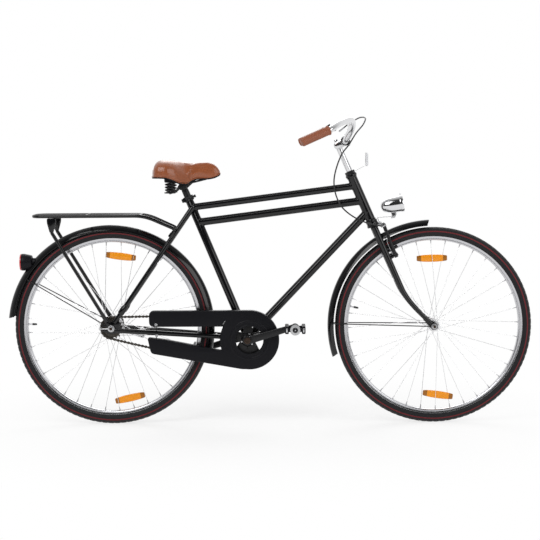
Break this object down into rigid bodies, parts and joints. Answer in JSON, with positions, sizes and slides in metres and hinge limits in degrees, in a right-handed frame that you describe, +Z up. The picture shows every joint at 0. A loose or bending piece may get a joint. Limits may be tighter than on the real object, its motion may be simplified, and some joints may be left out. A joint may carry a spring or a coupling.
{
  "type": "city bicycle",
  "caption": "Upright city bicycle with twin top tubes, chain guard, fenders, rear rack, sprung saddle and headlamp",
  "frame": {"origin": "on the ground below the middle of the bicycle's length, in its middle plane", "axes": "+X forwards, +Y to the rider's left, +Z up"},
  "size_m": [1.862, 0.6292, 1.0915],
  "materials": {
    "frame_paint": "gloss black paint",
    "black_steel": "black coated steel",
    "satin_plastic": "satin near-black plastic",
    "chrome": "chrome plate",
    "aluminium": "satin aluminium",
    "spoke_steel": "bright steel hub and spokes",
    "tyre_rubber": "black tyre with a dark red line on each sidewall",
    "cable_black": "black cable housing",
    "tan_leather": "smooth tan leather",
    "tan_grip": "tan grip",
    "amber_lens": "amber reflector",
    "red_lens": "red reflector",
    "clear_lens": "clear ribbed lens",
    "clear_reflector": "clear reflector",
    "chain_steel": "oiled steel chain"
  },
  "bodies": {
    "frame": {"head_tube": "frame_paint", "upper_top_tube": "frame_paint", "lower_top_tube": "frame_paint", "down_tube": "frame_paint", "seat_tube": "frame_paint", "rear_triangle": "frame_paint", "chainguard": "satin_plastic", "rear_fender": "frame_paint", "rear_fender_stay": "black_steel", "rear_rack": "frame_paint", "rack_strut_right": "frame_paint", "rack_strut_left": "frame_paint", "tail_reflector_body": "satin_plastic", "tail_reflector_lens": "red_lens", "seat_clamp": "black_steel", "rear_axle": "aluminium", "coaster_brake_arm": "aluminium", "chain": "chain_steel"},
    "crank_set": {"bottom_bracket_axle": "black_steel", "chainring": "black_steel", "right_crank": "black_steel", "left_crank": "black_steel"},
    "pedal_right": {"right_pedal": "satin_plastic"},
    "pedal_left": {"left_pedal": "satin_plastic"},
    "sprocket": {"rear_sprocket": "chain_steel"},
    "rear_wheel": {"rear_tyre": "tyre_rubber", "rear_rim": "aluminium", "rear_hub": "spoke_steel", "rear_reflector_upper": "amber_lens", "rear_reflector_lower": "amber_lens"},
    "steering": {"fork": "frame_paint", "front_axle": "aluminium", "front_fender": "frame_paint", "front_fender_stay": "black_steel", "headlamp_shell": "chrome", "headlamp_lens": "clear_lens", "headlamp_bracket": "aluminium", "front_reflector_bracket": "black_steel", "front_reflector": "clear_reflector", "stem": "chrome", "handlebar": "chrome", "right_grip": "tan_grip", "left_grip": "tan_grip", "brake_lever_bracket": "satin_plastic", "brake_cable": "cable_black"},
    "front_wheel": {"front_tyre": "tyre_rubber", "front_rim": "aluminium", "front_hub": "spoke_steel", "front_reflector_upper": "amber_lens", "front_reflector_lower": "amber_lens"},
    "lever": {"brake_lever": "satin_plastic"},
    "arm_right": {"brake_arm_right": "chrome"},
    "arm_left": {"brake_arm_left": "chrome"},
    "seat": {"seat_post": "black_steel", "saddle_rails": "black_steel", "saddle_spring_right": "black_steel", "saddle_spring_left": "black_steel"},
    "saddle": {"saddle_base": "satin_plastic", "saddle_cover": "tan_leather"}
  },
  "joints": [
    {"name": "crank_spin", "type": "hinge", "parent": "frame", "child": "crank_set", "pos_m": [-0.07801, 0, 0.305], "axis": [0, 1, 0], "continuous": true, "deforming": ["chain"]},
    {"name": "right_pedal_spin", "type": "hinge", "parent": "crank_set", "child": "pedal_right", "pos_m": [0.09012, 0, 0.35353], "axis": [0, 1, 0], "continuous": true},
    {"name": "left_pedal_spin", "type": "hinge", "parent": "crank_set", "child": "pedal_left", "pos_m": [-0.24615, 0, 0.25647], "axis": [0, 1, 0], "continuous": true},
    {"name": "sprocket_spin", "type": "hinge", "parent": "frame", "child": "sprocket", "pos_m": [-0.55901, 0, 0.349], "axis": [0, 1, 0], "continuous": true},
    {"name": "rear_wheel_spin", "type": "hinge", "parent": "frame", "child": "rear_wheel", "pos_m": [-0.55901, 0, 0.349], "axis": [0, 1, 0], "continuous": true},
    {"name": "steering_turn", "type": "hinge", "parent": "frame", "child": "steering", "pos_m": [0.36129, 0, 0.7237], "axis": [-0.4003, 0, 0.9164], "range_deg": [-60, 60], "deforming": ["brake_cable"]},
    {"name": "front_wheel_spin", "type": "hinge", "parent": "steering", "child": "front_wheel", "pos_m": [0.58199, 0, 0.349], "axis": [0, 1, 0], "continuous": true},
    {"name": "brake_lever_pull", "type": "hinge", "parent": "steering", "child": "lever", "pos_m": [0.24293, 0.294, 1.04957], "axis": [-0.4003, 0, 0.9164], "range_deg": [0, 12], "stiffness_Nm_per_rad": 0.6, "springref_deg": -5.73},
    {"name": "brake_arm_right_close", "type": "hinge", "parent": "steering", "child": "arm_right", "pos_m": [0.44677, -0.0385, 0.60172], "axis": [0.9164, 0, 0.4003], "range_deg": [-4.2, 0]},
    {"name": "brake_arm_left_close", "type": "hinge", "parent": "steering", "child": "arm_left", "pos_m": [0.44677, 0.0385, 0.60172], "axis": [0.9164, 0, 0.4003], "range_deg": [0, 4.2]},
    {"name": "seat_height", "type": "slide", "parent": "frame", "child": "seat", "axis": [-0.3827, 0, 0.9239], "range_m": [-0.015, 0.09]},
    {"name": "saddle_bounce", "type": "hinge", "parent": "seat", "child": "saddle", "pos_m": [-0.22201, 0, 0.871], "axis": [0, 1, 0], "range_deg": [-4, 0], "stiffness_Nm_per_rad": 960, "deforming": ["saddle_spring_right", "saddle_spring_left"]}
  ],
  "couplings": [
    {"joint": "sprocket_spin", "follows": "crank_spin", "ratio": 2.3158},
    {"joint": "brake_arm_right_close", "follows": "brake_lever_pull", "ratio": -0.35},
    {"joint": "brake_arm_left_close", "follows": "brake_lever_pull", "ratio": 0.35}
  ]
}
